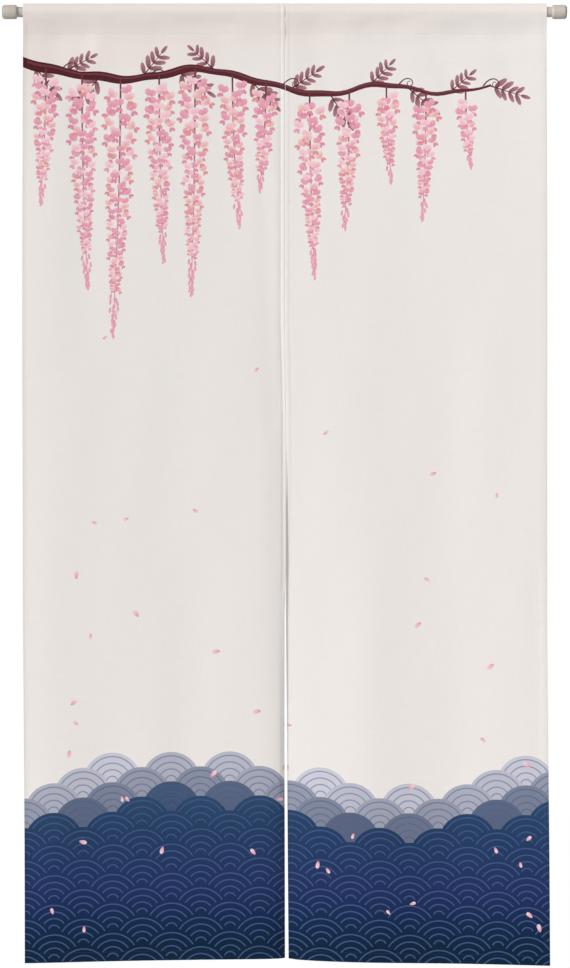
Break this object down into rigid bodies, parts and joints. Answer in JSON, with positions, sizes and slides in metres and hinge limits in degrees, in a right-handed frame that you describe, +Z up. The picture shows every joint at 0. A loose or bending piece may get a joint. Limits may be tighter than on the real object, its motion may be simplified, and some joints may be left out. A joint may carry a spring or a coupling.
{
  "type": "noren curtain with its hanging rod",
  "caption": "Split doorway curtain of printed off-white cloth panels sewn together at the top, hanging by rod sleeves on a round rod with end caps.",
  "frame": {"origin": "middle of the rod's axis", "axes": "+Z up, +X along the rod to the viewer's right, +Y away from the viewer who faces the printed side"},
  "size_m": [0.8804, 0.022, 1.5008],
  "materials": {
    "cloth": "matt plain weave, printed",
    "tube": "satin off-white paint",
    "cap": "satin moulded plastic"
  },
  "bodies": {
    "root": {"panel_left": "cloth", "panel_right": "cloth", "rod": "tube", "cap_left": "cap", "cap_right": "cap"}
  },
  "joints": []
}
